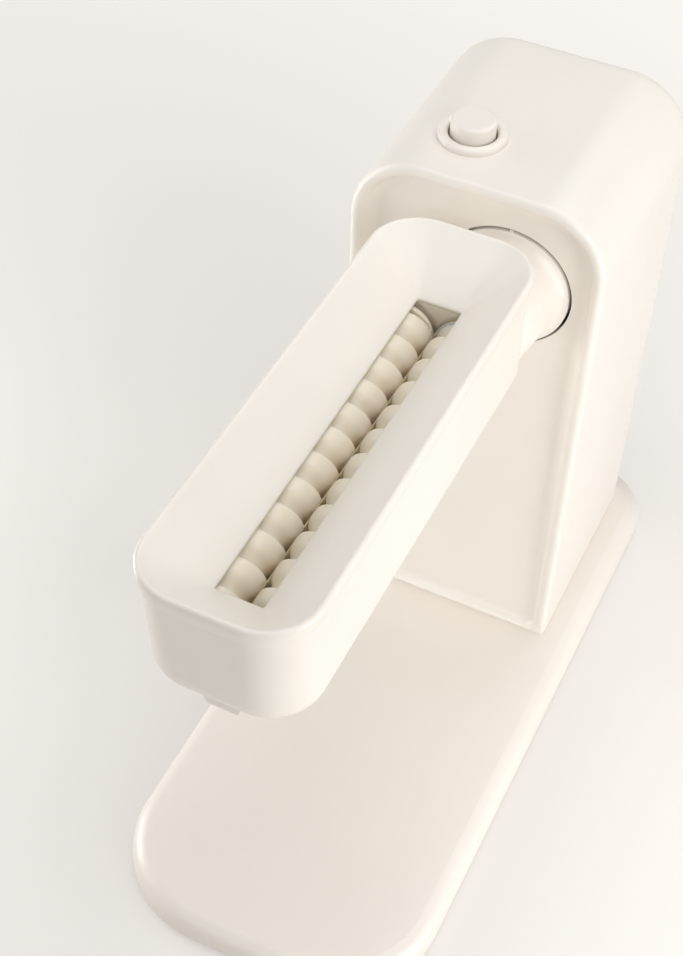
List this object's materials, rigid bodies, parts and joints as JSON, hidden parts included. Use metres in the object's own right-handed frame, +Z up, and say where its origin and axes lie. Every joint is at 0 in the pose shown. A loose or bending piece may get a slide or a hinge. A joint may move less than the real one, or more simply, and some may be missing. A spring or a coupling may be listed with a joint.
{
  "type": "electric pasta maker",
  "caption": "Electric pasta maker: flat base, arched column with a push button, and a horizontal arm with a sloped hopper tray over two feed screws.",
  "frame": {"origin": "centre of the bounding box in plan, at the bottom of the feet", "axes": "+Z up, the arm's outlet end faces -Y, the column stands towards +Y, +X is the right side seen from the arm's end"},
  "size_m": [0.149, 0.366, 0.2871],
  "materials": {
    "enamel": "satin",
    "shell": "satin",
    "button": "satin",
    "steel_plate": "rough",
    "dark_plastic": "matte",
    "rubber": "matte",
    "fastener": "satin",
    "black_plastic": "matte",
    "spring_steel": "polished",
    "board": "satin",
    "motor_steel": "satin",
    "cast": "rough",
    "plate_alu": "satin",
    "brass": "satin",
    "gear_plastic": "satin",
    "shaft_steel": "polished",
    "barrel_plastic": "satin",
    "bronze": "satin",
    "screw_plastic": "satin"
  },
  "bodies": {
    "body": {"base_plate": "enamel", "ballast_plate": "steel_plate", "bottom_cover": "dark_plastic", "rubber_feet": "rubber", "cover_screws": "fastener", "column_screws": "fastener", "column_shell": "shell", "rear_cover": "shell", "rear_cover_screws": "fastener", "power_inlet": "black_plastic", "inlet_pins": "shaft_steel", "bayonet_socket": "dark_plastic", "socket_screws": "fastener", "button_bezel": "shell", "button_spring": "spring_steel", "micro_switch": "black_plastic", "control_board": "board", "motor_body": "motor_steel", "motor_gear_head": "cast", "gearbox_plate": "plate_alu", "gearbox_cover": "plate_alu", "gearbox_screws": "fastener"},
    "button": {"button_cap": "button"},
    "pinion": {"motor_pinion": "brass"},
    "output": {"output_shaft": "shaft_steel", "output_gear": "gear_plastic"},
    "arm": {"arm_body": "shell", "barrel": "barrel_plastic", "bearing_plate": "plate_alu", "plate_screws": "fastener", "shaft_bushes": "bronze", "shaft_seals": "rubber", "die_nozzle": "shell"},
    "tray": {"hopper_tray": "shell"},
    "left_screw": {"screw_left": "screw_plastic", "gear_left": "gear_plastic"},
    "right_screw": {"screw_right": "screw_plastic", "gear_right": "gear_plastic"}
  },
  "joints": [
    {"name": "button_push", "type": "slide", "parent": "body", "child": "button", "axis": [0, 0, -1], "range_m": [0, 0.003], "stiffness_N_per_m": 400, "springref_m": -0.002, "deforming": ["button_spring"]},
    {"name": "arm_twist", "type": "hinge", "parent": "body", "child": "arm", "pos_m": [0.0134, 0.05, 0.2267], "axis": [0, -1, 0], "range_deg": [0, 45]},
    {"name": "tray_lift", "type": "slide", "parent": "arm", "child": "tray", "axis": [0, 0, 1], "range_m": [0, 0.03]},
    {"name": "right_screw_turn", "type": "hinge", "parent": "arm", "child": "right_screw", "pos_m": [0.0134, 0.05, 0.2267], "axis": [0, -1, 0], "continuous": true},
    {"name": "left_screw_turn", "type": "hinge", "parent": "arm", "child": "left_screw", "pos_m": [-0.0134, 0.05, 0.2267], "axis": [0, -1, 0], "continuous": true},
    {"name": "output_turn", "type": "hinge", "parent": "body", "child": "output", "pos_m": [0.0134, 0.05, 0.2267], "axis": [0, -1, 0], "continuous": true},
    {"name": "pinion_turn", "type": "hinge", "parent": "body", "child": "pinion", "pos_m": [0.0134, 0.05, 0.1947], "axis": [0, -1, 0], "continuous": true}
  ],
  "couplings": [
    {"joint": "left_screw_turn", "follows": "right_screw_turn", "ratio": -1},
    {"joint": "output_turn", "follows": "right_screw_turn", "ratio": 1},
    {"joint": "pinion_turn", "follows": "right_screw_turn", "ratio": -3}
  ]
}
